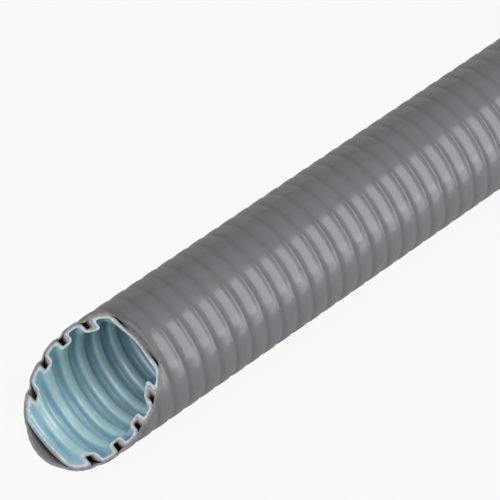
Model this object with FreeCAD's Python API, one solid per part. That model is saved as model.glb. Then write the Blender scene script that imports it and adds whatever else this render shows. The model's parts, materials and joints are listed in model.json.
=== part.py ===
import FreeCAD, Part
import math
import os

from FreeCAD import Vector

# Pliable corrugated conduit of nominal size 40, cut by the metre from a coil.
# A tube with ring-shaped corrugations carries a sheath that is bonded to its crests.
# The sheath bridges the grooves, so each groove holds a ring of trapped air.
# The near end is sawn on the slant and the far end square.
# X runs along the bore, the slanted end is at -X with its long side at the bottom,
# Z is up, and the origin lies on the floor below the middle of the piece.

# Whole piece
length = 1000.0             # along the bottom, from the slanted tip to the square end
outer_diameter = 40.0       # over the sheath
bore_diameter = 31.2        # clear way inside the corrugations
pitch = 6.25                # from one corrugation to the next
slant_angle = 42.0          # of the sawn near end, away from a square cut
slant_shift = 0.3           # from the middle of a crest to where that cut crosses the axis

# Corrugated tube
tube_wall = 0.8             # radial, at the crests and at the roots
flank_wall = 0.82           # axial, in the flanks between crest and root
groove_width = 1.8          # of the outer grooves at half their depth
flank_draft = 3.0           # lean of each flank, in degrees

# Outer sheath
sheath_wall = 0.72          # over the crests
sheath_dip = 0.35           # how far its outside sinks in over each groove
sheath_sag = 0.3            # how far its inside does
sheath_fall = 1.8           # from the end of a crest's land to the middle of the next groove
sheath_rise = 1.3           # from there to the start of the next crest's land
lowest_shift = 0.13         # lowest line of a dip, before the middle of its groove

outer_radius = outer_diameter / 2
bore_radius = bore_diameter / 2
crest_radius = outer_radius - sheath_wall
crest_inner_radius = crest_radius - tube_wall
root_radius = bore_radius + tube_wall
groove_mid_radius = (crest_radius + root_radius) / 2
flank_lean = math.tan(math.radians(flank_draft))

near_x = -length / 2
far_x = length / 2
axis_z = outer_radius

# The slanted cut crosses the axis beside one crest, and the others are counted from it.
slant_run = outer_radius * math.tan(math.radians(slant_angle))
slant_x = near_x + slant_run
first_crest_x = slant_x - slant_shift
crests_before = math.ceil(slant_run / pitch) + 1
crests_after = math.ceil((far_x - slant_x) / pitch) + 1
crest_places = [first_crest_x + i * pitch for i in range(-crests_before, crests_after + 1)]
groove_places = [x + pitch / 2 for x in crest_places[:-1]]


def on_section(x, radius):
    """Point of a half section, which lies level beside the axis."""
    return Vector(x, radius, axis_z)


def groove_half_width(radius):
    return groove_width / 2 + flank_lean * (radius - groove_mid_radius)


def tube_outline():
    """Half section of the corrugated tube: the outside, then back along the inside."""
    outside = [on_section(crest_places[0], crest_radius)]
    inside = [on_section(crest_places[0], crest_inner_radius)]
    crest_half = groove_half_width(crest_radius)
    root_half = groove_half_width(root_radius)
    cavity_top_half = groove_half_width(crest_inner_radius) + flank_wall
    cavity_mouth_half = groove_half_width(bore_radius) + flank_wall
    for x in groove_places:
        outside.append(on_section(x - crest_half, crest_radius))
        outside.append(on_section(x - root_half, root_radius))
        outside.append(on_section(x + root_half, root_radius))
        outside.append(on_section(x + crest_half, crest_radius))
        inside.append(on_section(x - cavity_top_half, crest_inner_radius))
        inside.append(on_section(x - cavity_mouth_half, bore_radius))
        inside.append(on_section(x + cavity_mouth_half, bore_radius))
        inside.append(on_section(x + cavity_top_half, crest_inner_radius))
    outside.append(on_section(crest_places[-1], crest_radius))
    inside.append(on_section(crest_places[-1], crest_inner_radius))
    return outside + inside[::-1]


def sheath_outline():
    """Half section of the sheath: lands on the crests, and between them a dip into each groove."""
    outside = [on_section(crest_places[0], outer_radius)]
    inside = [on_section(crest_places[0], crest_radius)]
    crest_half = groove_half_width(crest_radius)
    for x in groove_places:
        outside.append(on_section(x - sheath_fall, outer_radius))
        outside.append(on_section(x - lowest_shift, outer_radius - sheath_dip))
        outside.append(on_section(x + sheath_rise, outer_radius))
        inside.append(on_section(x - crest_half, crest_radius))
        inside.append(on_section(x, crest_radius - sheath_sag))
        inside.append(on_section(x + crest_half, crest_radius))
    outside.append(on_section(crest_places[-1], outer_radius))
    inside.append(on_section(crest_places[-1], crest_radius))
    return outside + inside[::-1]


def turned(outline):
    """Solid of revolution about the bore's axis."""
    face = Part.Face(Part.makePolygon(outline + outline[:1]))
    return face.revolve(on_section(0, 0), Vector(1, 0, 0), 360)


def kept_by_saw():
    """Block between the two saw cuts, twice as wide and high as the conduit."""
    reach = outer_diameter
    lean = reach * math.tan(math.radians(slant_angle))
    side = [
        Vector(slant_x - lean, -reach, axis_z - reach),
        Vector(far_x, -reach, axis_z - reach),
        Vector(far_x, -reach, axis_z + reach),
        Vector(slant_x + lean, -reach, axis_z + reach),
    ]
    return Part.Face(Part.makePolygon(side + side[:1])).extrude(Vector(0, 2 * reach, 0))


def save(name, outline):
    """Saws a turned blank at both ends. A crumb of crest that this frees at the tip falls out."""
    pieces = turned(outline).common(kept_by_saw()).Solids
    piece = max(pieces, key=lambda solid: solid.Volume)
    piece.exportStep(f"parts/{name}.step")
    print(name, "valid", piece.isValid(), "volume", round(piece.Volume, 1), "of", len(pieces), "pieces")


os.makedirs("parts", exist_ok=True)
save("corrugated_tube", tube_outline())
save("outer_sheath", sheath_outline())
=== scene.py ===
import json
import math

import bmesh
import bpy
from bpy.props import FloatProperty, FloatVectorProperty, IntProperty, PointerProperty
from bpy.types import Operator, Panel, PropertyGroup
from mathutils import Matrix, Quaternion, Vector


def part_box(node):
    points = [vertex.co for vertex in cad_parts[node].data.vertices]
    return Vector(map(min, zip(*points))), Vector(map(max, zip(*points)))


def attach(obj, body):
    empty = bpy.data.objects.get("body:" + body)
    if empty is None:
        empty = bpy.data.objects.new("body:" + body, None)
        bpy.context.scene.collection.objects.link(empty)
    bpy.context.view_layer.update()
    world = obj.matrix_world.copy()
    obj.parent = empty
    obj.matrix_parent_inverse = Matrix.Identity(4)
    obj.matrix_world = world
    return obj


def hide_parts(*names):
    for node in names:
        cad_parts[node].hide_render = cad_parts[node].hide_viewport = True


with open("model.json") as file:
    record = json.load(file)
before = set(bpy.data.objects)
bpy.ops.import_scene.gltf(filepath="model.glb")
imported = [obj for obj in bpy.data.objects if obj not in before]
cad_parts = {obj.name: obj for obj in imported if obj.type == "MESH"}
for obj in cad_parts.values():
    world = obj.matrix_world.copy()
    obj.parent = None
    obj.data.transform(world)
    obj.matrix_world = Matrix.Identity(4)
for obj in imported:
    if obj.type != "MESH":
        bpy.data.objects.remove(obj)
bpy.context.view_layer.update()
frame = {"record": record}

bl_info = {
    "name": "Corrugated conduit",
    "version": (1, 0, 0),
    "blender": (4, 5, 0),
    "location": "3D View > Sidebar > Conduit",
    "description": "A sawn length of sheathed corrugated conduit, its finishes and its studio",
    "category": "Object",
}

# The part's frame: X along the bore, the slanted end at -X, Z up, the floor at Z = 0.
MM = 0.001
SHEATH_LOW, SHEATH_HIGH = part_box("outer_sheath")
CABLE_BORE = next(m for m in frame["record"]["mounts"] if m["name"] == "cable_bore")
BORE_RADIUS = CABLE_BORE["dims"]["r_mm"] * MM
AXIS_Z = CABLE_BORE["pos_m"][2]
BODY = "root"
SEEN_STRETCH = Vector((-0.36, 0, AXIS_Z))     # middle of what the photograph shows
SAME_PLACE = 0.0005 * MM     # points nearer than this are one point
RADIUS_MARGIN = 0.01 * MM    # tells one surface's corners from another's
CORNER_STEPS = 2             # facets across a rounded corner
RIDGE_STEPS = 3              # facets across a ridge in the bore
MOULDED_FINISH = 0           # place of the moulded finish among a piece's materials
SAWN_FINISH = 1              # place of the sawn finish
# the sheath's inside finish carries painted shade in the closed grooves
INSIDE_FINISH = 2            # place of the finish of the sheath's inside
FLAP_LOOPS = (0.08, 0.16, 0.26, 0.4, 0.65, 1)     # where the flap's strip gets edges to bend along
FLAP_BEND = 1.5              # power with which the flap bends down towards its edge
CURL_SIDE = (0, 0.5)         # shares of the radius towards +Y over which the curl sets in
CURL_HEIGHT = (-0.85, -0.6)  # shares of the radius upwards over which it does
NOISE_RANGE = (0.3, 0.7)     # between these lie nearly all values of a noise
RUBBED_DULLING = 0.25        # added to the roughness of a rubbed spot


class ConduitSizes(PropertyGroup):
    """The sizes of the conduit's section and of its two saw cuts."""

    outer_diameter: FloatProperty(
        name="Outer diameter", description="Over the sheath", default=2 * AXIS_Z, unit="LENGTH")
    bore_diameter: FloatProperty(
        name="Bore", description="Clear way inside the corrugations", default=2 * BORE_RADIUS, unit="LENGTH")
    near_tip: FloatProperty(
        name="Near tip", description="Place of the slanted end's tip along the bore",
        default=round(SHEATH_LOW.x, 4), unit="LENGTH")
    far_end: FloatProperty(
        name="Far end", description="Place of the square end along the bore",
        default=round(SHEATH_HIGH.x, 4), unit="LENGTH")
    pitch: FloatProperty(
        name="Pitch", description="From one corrugation to the next", default=6.25 * MM, unit="LENGTH")
    slant_angle: FloatProperty(
        name="Slant", description="Near cut, away from a square one",
        default=math.radians(42), subtype="ANGLE", unit="ROTATION")
    slant_shift: FloatProperty(
        name="Slant shift", description="From the middle of a crest to where that cut crosses the axis",
        default=0.3 * MM, unit="LENGTH")
    tube_wall: FloatProperty(
        name="Tube wall", description="Tube's thickness at crest and root", default=0.8 * MM, unit="LENGTH")
    flank_wall: FloatProperty(
        name="Flank wall", description="Tube's thickness in the flanks", default=0.82 * MM, unit="LENGTH")
    slip_layer: FloatProperty(
        name="Slip layer", description="Blue share of the tube's wall", default=0.5 * MM, unit="LENGTH")
    groove_width: FloatProperty(
        name="Groove width", description="Outer groove at half its depth", default=1.8 * MM, unit="LENGTH")
    flank_draft: FloatProperty(
        name="Flank draft", description="Lean of each flank",
        default=math.radians(3), subtype="ANGLE", unit="ROTATION")
    sheath_wall: FloatProperty(
        name="Sheath wall", description="Sheath's thickness over the crests",
        default=0.72 * MM, unit="LENGTH")
    sheath_dip: FloatProperty(
        name="Sheath dip", description="How far the sheath's outside sinks in over a groove",
        default=0.35 * MM, unit="LENGTH")
    sheath_sag: FloatProperty(
        name="Sheath sag", description="How far the sheath's inside sinks in over a groove",
        default=0.3 * MM, unit="LENGTH")
    sheath_fall: FloatProperty(
        name="Sheath fall", description="From the end of a crest's land to the middle of the next groove",
        default=1.8 * MM, unit="LENGTH")
    sheath_rise: FloatProperty(
        name="Sheath rise", description="From there to the start of the next crest's land",
        default=1.3 * MM, unit="LENGTH")
    lowest_shift: FloatProperty(
        name="Lowest shift", description="Lowest line of a dip, before the middle of its groove",
        default=0.13 * MM, unit="LENGTH")
    steps_round: IntProperty(
        name="Steps round", description="Facets round the conduit", default=48, min=24)


class ConduitRoundings(PropertyGroup):
    """How far each corner of the section is rounded."""

    fall: FloatProperty(
        name="Sheath fall", description="Where a land ends and the sheath falls away",
        default=0.44 * MM, unit="LENGTH")
    rise: FloatProperty(
        name="Sheath rise", description="Where the sheath has risen to the next land",
        default=0.69 * MM, unit="LENGTH")
    valley: FloatProperty(
        name="Sheath valley", description="Bottom of the sheath's dips", default=0.26 * MM, unit="LENGTH")
    bond: FloatProperty(
        name="Sheath bond", description="Where the sheath's inside leaves a crest",
        default=0.6 * MM, unit="LENGTH")
    crest: FloatProperty(
        name="Crest", description="Tube's crest, under the sheath", default=0.7 * MM, unit="LENGTH")
    root: FloatProperty(
        name="Root", description="Bottom of the tube's outer grooves", default=0.35 * MM, unit="LENGTH")
    ridge: FloatProperty(
        name="Ridge", description="Tube's ridges in the bore", default=1.1 * MM, unit="LENGTH")
    cavity: FloatProperty(
        name="Cavity", description="Inside of the tube's crests", default=0.75 * MM, unit="LENGTH")
    bore_reach: FloatProperty(
        name="Bore reach", description="How deep the bore's corners are rounded, from either end",
        default=100 * MM, unit="LENGTH")
    cut_reach: FloatProperty(
        name="Cut reach", description="How deep the hidden corners are rounded, from either end",
        default=44 * MM, unit="LENGTH")


class ConduitCut(PropertyGroup):
    """The sheath's free edge in the grooves that the slanted cut has opened, and the shade in them."""

    flap_gap: FloatProperty(
        name="Flap gap", description="From the middle of the topmost open groove to the flap's edge over it",
        default=-0.25 * MM, unit="LENGTH")
    flap_depth: FloatProperty(
        name="Flap depth", description="How far that edge bends down, beyond the sheath's own dip",
        default=1.5 * MM, unit="LENGTH")
    flap_strip: FloatProperty(
        name="Flap strip", description="From the cut, the strip of the sheath that the flap is drawn from",
        default=1.0 * MM, unit="LENGTH")
    curl_depth: FloatProperty(
        name="Curl depth", description="How far the cut sheath sinks further into a groove on the +Y side",
        default=0.45 * MM, unit="LENGTH")
    curl_half: FloatProperty(
        name="Curl half width", description="From the middle of a groove to where the curl ends",
        default=1.6 * MM, unit="LENGTH")
    curl_reach: FloatProperty(
        name="Curl reach", description="From the cut to where the curl ends",
        default=4.5 * MM, unit="LENGTH")
    curl_thinning: FloatProperty(
        name="Curl thinning", description="Share of the curl that the sheath's inside doesn't follow",
        default=0.25, subtype="FACTOR")
    shade_start: FloatProperty(
        name="Shade start", description="From the cut to where the closed grooves begin to darken",
        default=0.1 * MM, unit="LENGTH")
    shade_stop: FloatProperty(
        name="Shade stop", description="From the cut to where the closed grooves are darkest",
        default=2.4 * MM, unit="LENGTH")


class ConduitColours(PropertyGroup):
    """Colours of the plastics, of their worn places, of their sawn faces and of the shade painted into their
    dips, hollows and closed grooves.
    """

    sheath: FloatVectorProperty(
        name="Sheath", description="Grey sheath on its lands", subtype="COLOR", size=3,
        default=(0.160, 0.160, 0.167))
    # painted shade: the sheath a little darker in its dips and on its inside
    sheath_low: FloatVectorProperty(
        name="Sheath dips", description="Grey sheath in its dips", subtype="COLOR", size=3,
        default=(0.142, 0.141, 0.145))
    tube: FloatVectorProperty(
        name="Tube", description="Outside of the tube on its crests", subtype="COLOR", size=3,
        default=(0.52, 0.49, 0.49))
    # painted shade: the near-black that both plastics take deep in the closed grooves behind the slanted cut
    groove_deep: FloatVectorProperty(
        name="Groove depths", description="Both plastics deep in the closed grooves",
        subtype="COLOR", size=3, default=(0.024, 0.018, 0.016))
    slip: FloatVectorProperty(
        name="Slip layer", description="Blue layer on the bore's ridges", subtype="COLOR", size=3,
        default=(0.43, 0.635, 0.67))
    # painted shade: the blue layer darker and bluer in the hollows between the ridges
    slip_deep: FloatVectorProperty(
        name="Slip layer hollows", description="Blue layer in the hollows between the ridges",
        subtype="COLOR", size=3, default=(0.352, 0.57, 0.655))
    rubbed: FloatVectorProperty(
        name="Rubbed", description="Grey sheath where it has been rubbed", subtype="COLOR", size=3,
        default=(0.215, 0.213, 0.215))
    sawn_sheath: FloatVectorProperty(
        name="Sawn sheath", description="Sawn face of the sheath", subtype="COLOR", size=3,
        default=(0.27, 0.255, 0.26))
    sawn_tube: FloatVectorProperty(
        name="Sawn tube", description="Sawn face of the tube's outside", subtype="COLOR", size=3,
        default=(0.38, 0.36, 0.37))
    sawn_slip: FloatVectorProperty(
        name="Sawn slip layer", description="Sawn face of the blue layer", subtype="COLOR", size=3,
        default=(0.56, 0.64, 0.67))


class ConduitStudio(PropertyGroup):
    """Floor, surroundings, lamps and camera."""

    floor_size: FloatProperty(
        name="Floor", description="Side of the floor", default=12.0, unit="LENGTH")
    floor_colour: FloatVectorProperty(
        name="Floor colour", description="Pale floor", subtype="COLOR", size=3, default=(0.34, 0.34, 0.34))
    floor_white: FloatProperty(
        name="Floor white", description="Share of plain white in what the camera sees of the floor",
        default=0.92, subtype="FACTOR")
    gloss_white: FloatProperty(
        name="Gloss white", description="Share of that white which gloss and clear bodies show",
        default=0.08, subtype="FACTOR")
    surround: FloatProperty(
        name="Surround", description="Strength of the surroundings as light", default=0.08)
    lamp_distance: FloatProperty(
        name="Lamp distance", description="From the seen stretch of the conduit to each lamp",
        default=4.0, unit="LENGTH")
    lamp_colour: FloatVectorProperty(
        name="Lamp colour", description="Slightly cool white of every lamp", subtype="COLOR", size=3,
        default=(0.975, 0.985, 1.0))
    key_glow: FloatProperty(
        name="Key glow", description="Brightness of the long soft lamp from overhead down the near side",
        default=3.8)
    side_glow: FloatProperty(
        name="Side glow", description="Brightness of the soft lamp that carries it on towards the floor",
        default=2.8)
    side_fill_glow: FloatProperty(
        name="Side fill glow", description="Brightness of the soft fill on the near side", default=2.95)
    fill_glow: FloatProperty(
        name="Fill glow", description="Brightness of the soft fill overhead", default=2.65)
    front_glow: FloatProperty(
        name="Front glow", description="Brightness of the broad panel that looks into the bore", default=2.2)
    strip_glow: FloatProperty(
        name="Strip glow", description="Brightness of the narrow lamp that lines the bore's ridges",
        default=3.4)
    lens: FloatProperty(
        name="Lens", description="Focal length in millimetres, for a sensor 36 mm wide", default=228.2)
    camera_roll: FloatProperty(
        name="Camera roll", description="Turn of the camera about its line of sight",
        default=math.radians(17.03), subtype="ANGLE", unit="ROTATION")


# Section of the walls

def section_point(x, radius):
    """Point of a half section, which stands upright above the axis."""
    return Vector((x, 0, AXIS_Z + radius))


def slant_x(sizes):
    """Where the slanted cut crosses the axis."""
    return sizes.near_tip + sizes.outer_diameter / 2 * math.tan(sizes.slant_angle)


def crest_radius(sizes):
    return sizes.outer_diameter / 2 - sizes.sheath_wall


def root_radius(sizes):
    return sizes.bore_diameter / 2 + sizes.tube_wall


def groove_places(sizes):
    """Middle of each groove, from past the slanted tip to past the square end."""
    first_crest = slant_x(sizes) - sizes.slant_shift
    before = math.ceil((first_crest - sizes.near_tip) / sizes.pitch) + 1
    after = math.ceil((sizes.far_end - first_crest) / sizes.pitch) + 1
    return [first_crest + (i + 0.5) * sizes.pitch for i in range(-before, after)]


def groove_corners(sizes, depth):
    """One corrugation of the tube at this depth in its wall, from the outside (0) to the bore (1)."""
    top = crest_radius(sizes) - depth * sizes.tube_wall
    bottom = root_radius(sizes) - depth * sizes.tube_wall
    middle = (crest_radius(sizes) + root_radius(sizes)) / 2
    half = sizes.groove_width / 2 + depth * sizes.flank_wall
    lean = math.tan(sizes.flank_draft)
    top_half = half + lean * (top - middle)
    bottom_half = half + lean * (bottom - middle)
    return [(-top_half, top), (-bottom_half, bottom), (bottom_half, bottom), (top_half, top)]


def add_waves(mesh, sizes, corners):
    """Chain of one corrugation's corners, from mid crest to mid crest, repeated along the bore."""
    places = groove_places(sizes)
    first = (-sizes.pitch / 2, corners[0][1])
    last = (sizes.pitch / 2, corners[-1][1])
    wave = [mesh.verts.new(section_point(places[0] + x, r)) for x, r in (first, *corners, last)]
    links = [mesh.edges.new(pair) for pair in zip(wave, wave[1:])]
    made = list(wave)
    for place in places[1:]:
        copied = bmesh.ops.duplicate(mesh, geom=wave + links)["geom"]
        moved = [part for part in copied if isinstance(part, bmesh.types.BMVert)]
        bmesh.ops.translate(mesh, verts=moved, vec=(place - places[0], 0, 0))
        made += moved
    bmesh.ops.remove_doubles(mesh, verts=made, dist=SAME_PLACE)
    joints = [v for v in made if v.is_valid and len(level_sides(v)) == 2]
    bmesh.ops.dissolve_verts(mesh, verts=joints)


def level_sides(vert):
    """On which sides of this point the section's line runs level: -1 towards -X, 1 towards +X."""
    beside = [edge.other_vert(vert).co for edge in vert.link_edges]
    return [math.copysign(1, co.x - vert.co.x) for co in beside if abs(co.z - vert.co.z) < SAME_PLACE]


def round_corners(mesh, sizes, radius, rounding, reach, level_side=None, steps=CORNER_STEPS):
    """Rounds the section's corners that lie at this radius, as deep as the reach from either end.

    With a level side given, it rounds only those where the line runs level on that side.
    """
    near, far = sizes.near_tip + reach, sizes.far_end - reach
    corners = [v for v in mesh.verts if abs(v.co.z - AXIS_Z - radius) < RADIUS_MARGIN
               and len(v.link_edges) == 2 and not near < v.co.x < far
               and (level_side is None or level_side in level_sides(v))]
    bmesh.ops.bevel(
        mesh, geom=corners, offset=rounding, offset_type="OFFSET", segments=steps, profile=0.5,
        affect="VERTICES", material=-1, clamp_overlap=False)


def add_tube_surface(mesh, sizes, roundings, depth, reach):
    """Line of the tube's section at this depth in its wall, with its corners rounded to fit the depth."""
    corners = groove_corners(sizes, depth)
    top, bottom = corners[0][1], corners[1][1]
    top_rounding = roundings.crest + depth * (roundings.cavity - roundings.crest)
    bottom_rounding = roundings.root + depth * (roundings.ridge - roundings.root)
    add_waves(mesh, sizes, corners)
    round_corners(mesh, sizes, top, top_rounding, reach)
    bottom_steps = RIDGE_STEPS if depth == 1 else CORNER_STEPS
    round_corners(mesh, sizes, bottom, bottom_rounding, reach, steps=bottom_steps)


# Turning and sawing

def close_section(mesh):
    """Joins the outer and the inner line of the section at their ends."""
    ends = sorted((v for v in mesh.verts if len(v.link_edges) == 1), key=lambda v: v.co.x)
    mesh.edges.new(ends[:2])
    mesh.edges.new(ends[2:])


def turn_section(mesh, sizes):
    """Spins the closed section about the bore's axis."""
    bmesh.ops.spin(
        mesh, geom=mesh.verts[:] + mesh.edges[:], cent=(0, 0, AXIS_Z), axis=(1, 0, 0), dvec=(0, 0, 0),
        angle=math.tau, steps=sizes.steps_round, use_merge=True, use_duplicate=False)
    bmesh.ops.remove_doubles(mesh, verts=mesh.verts[:], dist=SAME_PLACE)


def saw(mesh, through, outwards):
    """Cuts the blank with a plane, takes off what lies outwards and fills the sawn faces."""
    everything = mesh.verts[:] + mesh.edges[:] + mesh.faces[:]
    bmesh.ops.bisect_plane(
        mesh, geom=everything, dist=SAME_PLACE, plane_co=through, plane_no=outwards, clear_outer=True)
    rim = [edge for edge in mesh.edges if edge.is_boundary]
    filled = bmesh.ops.triangle_fill(mesh, edges=rim, use_beauty=True, use_dissolve=False, normal=outwards)
    sawn = [part for part in filled["geom"] if isinstance(part, bmesh.types.BMFace)]
    if not sawn:
        raise RuntimeError("the saw cut left no face")
    for face in sawn:
        face.material_index = SAWN_FINISH
        face.smooth = False


def drop_crumbs(mesh):
    """Deletes what the slanted cut frees at the tip: all that doesn't hang on the far end."""
    start = max(mesh.verts, key=lambda v: v.co.x)
    held = {start}
    waiting = [start]
    while waiting:
        for edge in waiting.pop().link_edges:
            for vert in edge.verts:
                if vert not in held:
                    held.add(vert)
                    waiting.append(vert)
    crumbs = [v for v in mesh.verts if v not in held]
    bmesh.ops.delete(mesh, geom=crumbs, context="VERTS")


def slant_outwards(sizes):
    return Vector((-math.cos(sizes.slant_angle), 0, math.sin(sizes.slant_angle)))


def turn_and_saw(mesh, sizes):
    """Closes the section, turns it and saws the blank to length."""
    close_section(mesh)
    turn_section(mesh, sizes)
    for face in mesh.faces:
        face.smooth = True
    saw(mesh, section_point(slant_x(sizes), 0), slant_outwards(sizes))
    saw(mesh, section_point(sizes.far_end, 0), Vector((1, 0, 0)))
    drop_crumbs(mesh)


# Soft edges of the cut sheath

def fade(share):
    """Falls smoothly from 1 at 0 to 0 at 1."""
    return math.cos(math.pi / 2 * min(abs(share), 1)) ** 2


def ramp(value, start, stop):
    """Rises evenly from 0 at the start to 1 at the stop."""
    return min(max((value - start) / (stop - start), 0), 1)


def from_slant(co, sizes):
    """Place from where the slanted cut crosses the axis, and the distance from that cut."""
    place = co - section_point(slant_x(sizes), 0)
    return place, place.x * math.cos(sizes.slant_angle) - place.z * math.sin(sizes.slant_angle)


def draw_flap(mesh, sizes, cut):
    """Draws the sheath's free edge out over the groove that the cut opens at the top, and bends it down."""
    outwards = slant_outwards(sizes)
    for share in FLAP_LOOPS:
        through = section_point(slant_x(sizes), 0) - share * cut.flap_strip * outwards
        everything = mesh.verts[:] + mesh.edges[:] + mesh.faces[:]
        bmesh.ops.bisect_plane(
            mesh, geom=everything, dist=SAME_PLACE, plane_co=through, plane_no=outwards)
    lean = math.tan(sizes.slant_angle)
    outside = sizes.outer_diameter / 2
    top = slant_x(sizes) + lean * outside
    groove = max(x for x in groove_places(sizes) if x < top)
    tip = groove + cut.flap_gap
    shoulder = groove + sizes.sheath_rise
    for vert in mesh.verts:
        place, from_cut = from_slant(vert.co, sizes)
        radius = math.hypot(place.y, place.z)
        ahead = slant_x(sizes) + lean * place.z - tip
        drawn = ramp(from_cut, cut.flap_strip, 0)
        if ahead <= 0 or drawn == 0:
            continue
        bent_before = ramp(vert.co.x, shoulder, tip)
        vert.co.x -= ahead * drawn
        bent = ramp(vert.co.x, shoulder, tip)
        weight = ramp(lean * outside * place.z / radius, tip - slant_x(sizes), lean * outside)
        sink = sizes.sheath_dip * (bent - bent_before) + cut.flap_depth * weight * bent ** FLAP_BEND
        vert.co -= sink / radius * Vector((0, place.y, place.z))


def curl_in(mesh, sizes, cut):
    """Sinks the sheath's free edge into the grooves that the cut has opened on the +Y side."""
    lean = math.tan(sizes.slant_angle)
    first_groove = groove_places(sizes)[0]
    outside = sizes.outer_diameter / 2
    for vert in mesh.verts:
        place, from_cut = from_slant(vert.co, sizes)
        from_groove = (vert.co.x - first_groove + sizes.pitch / 2) % sizes.pitch - sizes.pitch / 2
        radius = math.hypot(place.y, place.z)
        depth = cut.curl_depth * fade(from_groove / cut.curl_half) * fade(from_cut / cut.curl_reach)
        depth *= 1 - cut.curl_thinning * (outside - radius) / sizes.sheath_wall
        depth *= ramp(place.y / radius, *CURL_SIDE) * ramp(place.z / radius, *CURL_HEIGHT)
        vert.co -= depth / radius * Vector((lean * place.z, place.y, place.z))


def mark_inside(mesh):
    """Gives the sheath's faces that look at the axis their own finish, which carries painted shade deep in
    the closed grooves.
    """
    bmesh.ops.recalc_face_normals(mesh, faces=mesh.faces[:])
    for face in mesh.faces:
        place = face.calc_center_median() - section_point(0, 0)
        inwards = face.normal.y * place.y + face.normal.z * place.z < 0
        if inwards and face.material_index == MOULDED_FINISH:
            face.material_index = INSIDE_FINISH


# Nodes and shared effects

def add_node(tree, kind, inputs, **settings):
    """Adds a node. Each input is a value, or the output that feeds it."""
    node = tree.nodes.new(kind)
    for name, setting in settings.items():
        setattr(node, name, setting)
    for socket, value in inputs.items():
        if isinstance(value, bpy.types.NodeSocket):
            tree.links.new(value, node.inputs[socket])
        else:
            node.inputs[socket].default_value = value
    return node


def calculated(tree, operation, *values):
    """Result of one Math node."""
    return add_node(tree, "ShaderNodeMath", dict(enumerate(values)), operation=operation).outputs[0]


def ranged(tree, value, start, stop, low=0.0, high=1.0, **settings):
    """Runs from low to high while the value runs from start to stop."""
    inputs = {"Value": value, "From Min": start, "From Max": stop, "To Min": low, "To Max": high}
    return add_node(tree, "ShaderNodeMapRange", inputs, **settings).outputs["Result"]


def scaled_colour(tree, colour, scale):
    """Colour made lighter or darker as a whole."""
    inputs = {0: colour, "Scale": scale}
    return add_node(tree, "ShaderNodeVectorMath", inputs, operation="SCALE").outputs[0]


def new_effect(name, inputs, outputs):
    """Node group with these sockets. Its inputs and outputs are named, with the type of each."""
    effect = bpy.data.node_groups.new(name, "ShaderNodeTree")
    for direction, sockets in (("INPUT", inputs), ("OUTPUT", outputs)):
        for socket, kind in sockets.items():
            effect.interface.new_socket(socket, in_out=direction, socket_type=f"NodeSocket{kind}")
    return effect, effect.nodes.new("NodeGroupInput").outputs


def object_place(tree):
    """Place on the piece, in metres from the origin of the part's frame."""
    return tree.nodes.new("ShaderNodeTexCoord").outputs["Object"]


def stretched_noise(tree, scale, detail):
    """Noise with its own scale along X, Y and Z, in waves to the metre."""
    mapping = add_node(tree, "ShaderNodeMapping", {"Vector": object_place(tree), "Scale": scale})
    noise = add_node(
        tree, "ShaderNodeTexNoise", {"Vector": mapping.outputs["Vector"], "Scale": 1.0, "Detail": detail})
    return noise.outputs["Fac"]


def ring_height():
    """Effect: 0 at one distance from the bore's axis and 1 at another, to tell crests from grooves."""
    effect, given = new_effect(
        "ring_height", {"Axis Height": "Float", "Low": "Float", "High": "Float"}, {"Height": "Float"})
    parts = add_node(effect, "ShaderNodeSeparateXYZ", {0: object_place(effect)}).outputs
    above = calculated(effect, "SUBTRACT", parts["Z"], given["Axis Height"])
    across = add_node(effect, "ShaderNodeCombineXYZ", {"Y": parts["Y"], "Z": above})
    radius = add_node(effect, "ShaderNodeVectorMath", {0: across.outputs[0]}, operation="LENGTH")
    height = ranged(
        effect, radius.outputs["Value"], given["Low"], given["High"], interpolation_type="SMOOTHSTEP")
    add_node(effect, "NodeGroupOutput", {"Height": height})
    return effect


# mask for the shade painted into the closed grooves behind the slanted cut
def cut_depth():
    """Effect: 0 at one distance behind a saw cut and 1 at another."""
    effect, given = new_effect(
        "cut_depth", {"Through": "Vector", "Inwards": "Vector", "Start": "Float", "Stop": "Float"},
        {"Depth": "Float"})
    place = add_node(
        effect, "ShaderNodeVectorMath", {0: object_place(effect), 1: given["Through"]}, operation="SUBTRACT")
    behind = add_node(
        effect, "ShaderNodeVectorMath", {0: place.outputs[0], 1: given["Inwards"]}, operation="DOT_PRODUCT")
    depth = ranged(
        effect, behind.outputs["Value"], given["Start"], given["Stop"], interpolation_type="SMOOTHSTEP")
    add_node(effect, "NodeGroupOutput", {"Depth": depth})
    return effect


def extruded_skin():
    """Effect: faint lines drawn along the bore by the die, and a soft mottle over them."""
    effect, given = new_effect(
        "extruded_skin", {"Colour": "Color", "Mottle": "Float", "Lines": "Float"},
        {"Colour": "Color", "Unevenness": "Float", "Height": "Float"})
    lines = stretched_noise(effect, scale=(9, 1500, 1500), detail=3)
    clouds = stretched_noise(effect, scale=(140, 140, 140), detail=2)
    pimples = stretched_noise(effect, scale=(2400, 2400, 2400), detail=1)
    pimple_height = 0.5
    mottled = ranged(effect, clouds, *NOISE_RANGE, low=-1.0)
    streaked = ranged(effect, lines, *NOISE_RANGE, low=-1.0)
    shade = calculated(effect, "MULTIPLY_ADD", mottled, given["Mottle"], 1.0)
    shade = calculated(effect, "MULTIPLY_ADD", streaked, given["Lines"], shade)
    colour = scaled_colour(effect, given["Colour"], shade)
    height = calculated(effect, "MULTIPLY_ADD", pimples, pimple_height, lines)
    add_node(effect, "NodeGroupOutput", {"Colour": colour, "Unevenness": clouds, "Height": height})
    return effect


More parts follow.
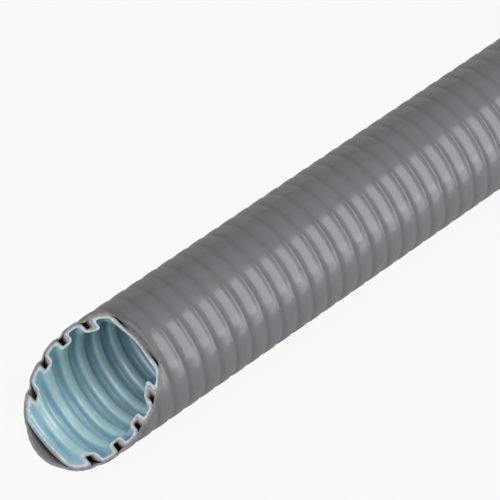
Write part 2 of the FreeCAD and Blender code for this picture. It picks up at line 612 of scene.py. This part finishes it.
def rubbed_spots():
    """Effect: scattered dull spots and short scratches, where the mask lets them be."""
    effect, given = new_effect("rubbed_spots", {"Mask": "Float", "Amount": "Float"}, {"Spots": "Float"})
    blots = stretched_noise(effect, scale=(170, 210, 210), detail=4)
    hairs = stretched_noise(effect, scale=(3600, 160, 160), detail=1)
    spots = ranged(effect, blots, start=0.6, stop=0.74)
    scratches = ranged(effect, hairs, start=0.72, stop=0.78)
    either = calculated(effect, "MAXIMUM", spots, scratches)
    masked = calculated(effect, "MULTIPLY", either, given["Mask"])
    shown = calculated(effect, "MULTIPLY", masked, given["Amount"])
    add_node(effect, "NodeGroupOutput", {"Spots": shown})
    return effect


def saw_marks():
    """Effect: furrows that the saw's teeth drew across a cut, with torn pale places between them."""
    effect, given = new_effect(
        "saw_marks", {"Colour": "Color", "Paleness": "Float"},
        {"Colour": "Color", "Unevenness": "Float", "Height": "Float"})
    furrows = stretched_noise(effect, scale=(2600, 260, 2600), detail=2)
    tears = stretched_noise(effect, scale=(900, 700, 900), detail=3)
    torn = ranged(effect, tears, start=0.4, stop=0.66, low=-1.0)
    shade = calculated(effect, "MULTIPLY_ADD", torn, given["Paleness"], 1.0)
    colour = scaled_colour(effect, given["Colour"], shade)
    add_node(effect, "NodeGroupOutput", {"Colour": colour, "Unevenness": furrows, "Height": furrows})
    return effect


def shared_effect(make):
    """The effect's node group, which is built once."""
    return bpy.data.node_groups.get(make.__name__) or make()


def add_effect(tree, make, inputs):
    """Places a shared effect in a material with the material's own values."""
    return add_node(tree, "ShaderNodeGroup", inputs, node_tree=shared_effect(make)).outputs


# Finishes

def new_finish(name):
    """New material, its node tree and the sockets of its surface."""
    material = bpy.data.materials.new(name)
    material.use_nodes = True
    return material, material.node_tree, material.node_tree.nodes["Principled BSDF"].inputs


def set_roughness(tree, surface, unevenness, low, high):
    """Lets the roughness run from low to high over the uneven skin."""
    tree.links.new(ranged(tree, unevenness, *NOISE_RANGE, low, high), surface["Roughness"])


def set_relief(tree, surface, height, depth):
    """Raises fine relief of this depth, in metres."""
    bump = add_node(tree, "ShaderNodeBump", {"Height": height, "Strength": 1.0, "Distance": depth})
    tree.links.new(bump.outputs["Normal"], surface["Normal"])


def blended(tree, share, low, high):
    """Colour that runs from low to high with the share."""
    mix = add_node(tree, "ShaderNodeMix", {"Factor": share}, data_type="RGBA")
    for socket, colour in (("A", low), ("B", high)):
        end = next(i for i in mix.inputs if i.name == socket and i.type == "RGBA")
        if isinstance(colour, bpy.types.NodeSocket):
            tree.links.new(colour, end)
        else:
            end.default_value = (*colour, 1)
    return next(o for o in mix.outputs if o.type == "RGBA")


def moulded_plastic(name, low, high, low_colour, high_colour, roughness, relief, mottle, lines):
    """Extruded plastic whose colour changes from one distance from the axis to another, which paints shade
    into its dips or hollows.
    """
    material, tree, surface = new_finish(name)
    height = add_effect(tree, ring_height, {"Axis Height": AXIS_Z, "Low": low, "High": high})["Height"]
    colour = blended(tree, height, low_colour, high_colour)
    skin = add_effect(tree, extruded_skin, {"Colour": colour, "Mottle": mottle, "Lines": lines})
    tree.links.new(skin["Colour"], surface["Base Color"])
    set_roughness(tree, surface, skin["Unevenness"], *roughness)
    set_relief(tree, surface, skin["Height"], relief)
    return material, height, skin


def sheath_finish(sizes, colours):
    """Satin grey sheath with shade painted into its dips, and rubbed on its lands."""
    land = sizes.outer_diameter / 2
    # the dips get painted shade
    material, height, skin = moulded_plastic(
        "sheath_plastic", land - sizes.sheath_dip, land, colours.sheath_low, colours.sheath,
        roughness=(0.18, 0.23), relief=0.012 * MM, mottle=0.03, lines=0.015)
    tree = material.node_tree
    surface = tree.nodes["Principled BSDF"].inputs
    spots = add_effect(tree, rubbed_spots, {"Mask": height, "Amount": 0.25})["Spots"]
    tree.links.new(blended(tree, spots, skin["Colour"], colours.rubbed), surface["Base Color"])
    moulded = surface["Roughness"].links[0].from_socket
    dulled = calculated(tree, "MULTIPLY_ADD", spots, RUBBED_DULLING, moulded)
    tree.links.new(dulled, surface["Roughness"])
    return material


def groove_finish(name, sizes, cut, colour, painted_shade_colour):
    """Plastic that shows in the opened grooves, with painted shade that darkens it behind the slanted cut.
    """
    material, tree, surface = new_finish(name)
    depth = add_effect(
        tree, cut_depth,
        {"Through": section_point(slant_x(sizes), 0), "Inwards": -slant_outwards(sizes),
         "Start": cut.shade_start, "Stop": cut.shade_stop})["Depth"]
    # blends the plastic's colour into painted shade behind the cut
    colour = blended(tree, depth, colour, painted_shade_colour)
    skin = add_effect(tree, extruded_skin, {"Colour": colour, "Mottle": 0.05, "Lines": 0.03})
    tree.links.new(skin["Colour"], surface["Base Color"])
    set_roughness(tree, surface, skin["Unevenness"], low=0.42, high=0.55)
    set_relief(tree, surface, skin["Height"], depth=0.02 * MM)
    return material


def slip_finish(sizes, colours):
    """Smooth light blue layer, with darker and bluer shade painted into the hollows between the ridges."""
    ridge = sizes.bore_diameter / 2
    hollow = crest_radius(sizes) - sizes.tube_wall
    # the hollows get painted shade
    material = moulded_plastic(
        "slip_plastic", ridge, hollow, colours.slip, colours.slip_deep,
        roughness=(0.16, 0.22), relief=0.012 * MM, mottle=0.04, lines=0.03)[0]
    surface = material.node_tree.nodes["Principled BSDF"].inputs
    surface["Coat Weight"].default_value = 0.9
    surface["Coat Roughness"].default_value = 0.13
    return material


def sawn_finish(name, colour):
    """Rough pale face that the saw left."""
    material, tree, surface = new_finish(name)
    marks = add_effect(tree, saw_marks, {"Colour": (*colour, 1), "Paleness": 0.16})
    tree.links.new(marks["Colour"], surface["Base Color"])
    set_roughness(tree, surface, marks["Unevenness"], low=0.5, high=0.75)
    set_relief(tree, surface, marks["Height"], depth=0.04 * MM)
    return material


# Pieces and their operators

def finish_piece(name, mesh, materials, stands_for):
    """Makes the mesh a piece that stands for a CAD node, and checks that it is closed."""
    bmesh.ops.recalc_face_normals(mesh, faces=mesh.faces[:])
    if not all(edge.is_manifold for edge in mesh.edges):
        raise RuntimeError(f"{name} isn't closed")
    shape = bpy.data.meshes.new(name)
    mesh.to_mesh(shape)
    mesh.free()
    for material in materials:
        shape.materials.append(material)
    piece = bpy.data.objects.new(name, shape)
    bpy.context.scene.collection.objects.link(piece)
    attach(piece, BODY)
    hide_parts(stands_for)
    print(name, "triangles", sum(len(p.vertices) - 2 for p in shape.polygons))


class CONDUIT_OT_sheath(Operator):
    """Makes the grey sheath, with its lands, dips and sawn ends"""

    bl_idname = "conduit.sheath"
    bl_label = "Make sheath"

    def execute(self, context):
        sizes = context.scene.conduit_sizes
        roundings = context.scene.conduit_roundings
        cut = context.scene.conduit_cut
        colours = context.scene.conduit_colours
        land = sizes.outer_diameter / 2
        valley = land - sizes.sheath_dip
        bond = crest_radius(sizes)
        sag = bond - sizes.sheath_sag
        groove_half = groove_corners(sizes, 0)[-1][0]
        whole = sizes.far_end - sizes.near_tip
        mesh = bmesh.new()
        dip = [(-sizes.sheath_fall, land), (-sizes.lowest_shift, valley), (sizes.sheath_rise, land)]
        add_waves(mesh, sizes, dip)
        add_waves(mesh, sizes, [(-groove_half, bond), (0, sag), (groove_half, bond)])
        round_corners(mesh, sizes, valley, roundings.valley, whole)
        round_corners(mesh, sizes, land, roundings.fall, whole, level_side=-1)
        round_corners(mesh, sizes, land, roundings.rise, whole, level_side=1)
        round_corners(mesh, sizes, bond, roundings.bond, roundings.cut_reach)
        turn_and_saw(mesh, sizes)
        draw_flap(mesh, sizes, cut)
        curl_in(mesh, sizes, cut)
        mark_inside(mesh)
        finishes = [
            sheath_finish(sizes, colours),
            sawn_finish("sawn_sheath", colours.sawn_sheath),
            # the sheath's inside carries painted shade deep in the closed grooves
            groove_finish("sheath_inside", sizes, cut, colours.sheath_low, colours.groove_deep),
        ]
        finish_piece("smooth_sheath", mesh, finishes, "outer_sheath")
        return {"FINISHED"}


class CONDUIT_OT_tube_wall(Operator):
    """Makes the pale grey outer layer of the corrugated tube"""

    bl_idname = "conduit.tube_wall"
    bl_label = "Make tube wall"

    def execute(self, context):
        sizes = context.scene.conduit_sizes
        roundings = context.scene.conduit_roundings
        cut = context.scene.conduit_cut
        colours = context.scene.conduit_colours
        depth = 1 - sizes.slip_layer / sizes.tube_wall
        mesh = bmesh.new()
        add_tube_surface(mesh, sizes, roundings, 0, roundings.cut_reach)
        add_tube_surface(mesh, sizes, roundings, depth, roundings.cut_reach)
        turn_and_saw(mesh, sizes)
        finishes = [
            # the tube's outside carries painted shade deep in the closed grooves
            groove_finish("tube_plastic", sizes, cut, colours.tube, colours.groove_deep),
            sawn_finish("sawn_tube", colours.sawn_tube),
        ]
        finish_piece("tube_wall", mesh, finishes, "corrugated_tube")
        return {"FINISHED"}


class CONDUIT_OT_slip_layer(Operator):
    """Makes the blue layer that lines the corrugated tube"""

    bl_idname = "conduit.slip_layer"
    bl_label = "Make slip layer"

    def execute(self, context):
        sizes = context.scene.conduit_sizes
        roundings = context.scene.conduit_roundings
        colours = context.scene.conduit_colours
        depth = 1 - sizes.slip_layer / sizes.tube_wall
        mesh = bmesh.new()
        add_tube_surface(mesh, sizes, roundings, depth, roundings.cut_reach)
        add_tube_surface(mesh, sizes, roundings, 1, roundings.bore_reach)
        turn_and_saw(mesh, sizes)
        finishes = [slip_finish(sizes, colours), sawn_finish("sawn_slip", colours.sawn_slip)]
        finish_piece("slip_layer", mesh, finishes, "corrugated_tube")
        return {"FINISHED"}


class CONDUIT_OT_stage(Operator):
    """Lays the pale floor and sets the surroundings, the soft lamps and the camera"""

    bl_idname = "conduit.stage"
    bl_label = "Set stage"

    def execute(self, context):
        studio = context.scene.conduit_studio
        scene = context.scene
        scene.view_settings.view_transform = "Standard"
        lay_floor(studio)
        set_surroundings(scene, studio)
        hang_lamp("key_lamp", studio, studio.key_glow, lean=29, start=0, stop=62, width=24)
        hang_lamp("side_lamp", studio, studio.side_glow, lean=34, start=62, stop=88, width=22)
        hang_lamp(
            "side_fill", studio, studio.side_fill_glow, lean=48, start=44, stop=88, width=36, in_gloss=False)
        hang_lamp(
            "fill_panel", studio, studio.fill_glow, lean=4, start=-26, stop=14, width=36, in_gloss=False)
        hang_lamp("front_panel", studio, studio.front_glow, lean=-68, start=-56, stop=4, width=30)
        hang_lamp("front_strip", studio, studio.strip_glow, lean=-30, start=-18, stop=32, width=12)
        place_camera(scene, studio)
        return {"FINISHED"}


# Studio

def seen_white(tree, studio):
    """Share of the plain white backdrop: all of it for the camera, some for gloss and clear bodies."""
    path = tree.nodes.new("ShaderNodeLightPath").outputs
    bright = calculated(tree, "MAXIMUM", path["Is Glossy Ray"], path["Is Transmission Ray"])
    dimmed = calculated(tree, "MULTIPLY", bright, studio.gloss_white)
    return calculated(tree, "MAXIMUM", path["Is Camera Ray"], dimmed)


def lay_floor(studio):
    """Pale floor that takes the conduit's shadow and looks nearly white to the camera."""
    mesh = bmesh.new()
    bmesh.ops.create_grid(mesh, x_segments=1, y_segments=1, size=studio.floor_size / 2)
    shape = bpy.data.meshes.new("floor")
    mesh.to_mesh(shape)
    mesh.free()
    material = bpy.data.materials.new("pale_floor")
    material.use_nodes = True
    tree = material.node_tree
    tree.nodes.clear()
    paint = add_node(tree, "ShaderNodeBsdfDiffuse", {"Color": (*studio.floor_colour, 1)})
    white = tree.nodes.new("ShaderNodeEmission")
    share = calculated(tree, "MULTIPLY", seen_white(tree, studio), studio.floor_white)
    mix = add_node(tree, "ShaderNodeMixShader", {0: share, 1: paint.outputs[0], 2: white.outputs[0]})
    add_node(tree, "ShaderNodeOutputMaterial", {"Surface": mix.outputs[0]})
    shape.materials.append(material)
    floor = bpy.data.objects.new("floor", shape)
    bpy.context.scene.collection.objects.link(floor)


def set_surroundings(scene, studio):
    """White to the camera, and dim as light on the conduit."""
    world = bpy.data.worlds.new("white_studio")
    scene.world = world
    world.use_nodes = True
    tree = world.node_tree
    background = tree.nodes["Background"].inputs
    background["Color"].default_value = (1, 1, 1, 1)
    level = ranged(tree, seen_white(tree, studio), start=0, stop=1, low=studio.surround)
    tree.links.new(level, background["Strength"])


def hang_lamp(name, studio, glow, lean, start, stop, width, in_gloss=True):
    """Soft lamp that faces the seen stretch of the conduit. All its angles are in degrees.

    It spans from start to stop, both measured from overhead towards -Y, and is width wide along the
    conduit. It leans towards the far end, or with a negative lean towards the near one.
    A lamp kept out of gloss lights the conduit but leaves no highlight on it.
    """
    middle = math.radians((start + stop) / 2)
    leaning = math.radians(lean)
    away = Vector((
        math.sin(leaning),
        -math.sin(middle) * math.cos(leaning),
        math.cos(middle) * math.cos(leaning)))
    along = Vector((0, -math.cos(middle), -math.sin(middle)))
    light = bpy.data.lights.new(name, "AREA")
    light.shape = "RECTANGLE"
    light.color = studio.lamp_colour
    light.size = 2 * studio.lamp_distance * math.tan(math.radians(stop - start) / 2)
    light.size_y = 2 * studio.lamp_distance * math.tan(math.radians(width) / 2)
    light.energy = glow * math.pi * light.size * light.size_y
    lamp = bpy.data.objects.new(name, light)
    lamp.location = SEEN_STRETCH + studio.lamp_distance * away
    lamp.rotation_mode = "QUATERNION"
    lamp.rotation_quaternion = Matrix((along, away.cross(along), away)).transposed().to_quaternion()
    lamp.visible_camera = False
    lamp.visible_glossy = in_gloss
    bpy.context.scene.collection.objects.link(lamp)


def place_camera(scene, studio):
    """Camera at the viewpoint of the photograph."""
    stands_at = Vector((-0.8446, -0.2856, 0.8419))
    looks_at = Vector((-0.4107, 0.0091, 0.02))
    data = bpy.data.cameras.new("camera")
    data.lens = studio.lens
    data.sensor_width = 36
    data.clip_start = 0.05
    data.clip_end = 50
    camera = bpy.data.objects.new("camera", data)
    camera.location = stands_at
    camera.rotation_mode = "QUATERNION"
    level = (looks_at - stands_at).to_track_quat("-Z", "Y")
    camera.rotation_quaternion = level @ Quaternion((0, 0, 1), studio.camera_roll)
    scene.collection.objects.link(camera)
    scene.camera = camera


# Panel and registration

class CONDUIT_PT_panel(Panel):
    """Lists the conduit's settings and its operators"""

    bl_label = "Corrugated conduit"
    bl_idname = "CONDUIT_PT_panel"
    bl_space_type = "VIEW_3D"
    bl_region_type = "UI"
    bl_category = "Conduit"

    def draw(self, context):
        for group in GROUPS:
            settings = getattr(context.scene, group)
            box = self.layout.box()
            for name in settings.__annotations__:
                box.prop(settings, name)
        for operator in OPERATORS:
            self.layout.operator(operator.bl_idname)


GROUPS = {
    "conduit_sizes": ConduitSizes,
    "conduit_roundings": ConduitRoundings,
    "conduit_cut": ConduitCut,
    "conduit_colours": ConduitColours,
    "conduit_studio": ConduitStudio,
}
OPERATORS = (CONDUIT_OT_sheath, CONDUIT_OT_tube_wall, CONDUIT_OT_slip_layer, CONDUIT_OT_stage)


def register():
    for name, group in GROUPS.items():
        bpy.utils.register_class(group)
        setattr(bpy.types.Scene, name, PointerProperty(type=group))
    for operator in OPERATORS:
        bpy.utils.register_class(operator)
    bpy.utils.register_class(CONDUIT_PT_panel)


def unregister():
    bpy.utils.unregister_class(CONDUIT_PT_panel)
    for operator in reversed(OPERATORS):
        bpy.utils.unregister_class(operator)
    for name, group in reversed(GROUPS.items()):
        delattr(bpy.types.Scene, name)
        bpy.utils.unregister_class(group)


def main():
    register()
    bpy.ops.conduit.sheath()
    bpy.ops.conduit.tube_wall()
    bpy.ops.conduit.slip_layer()
    bpy.ops.conduit.stage()


if __name__ == "__main__":
    main()
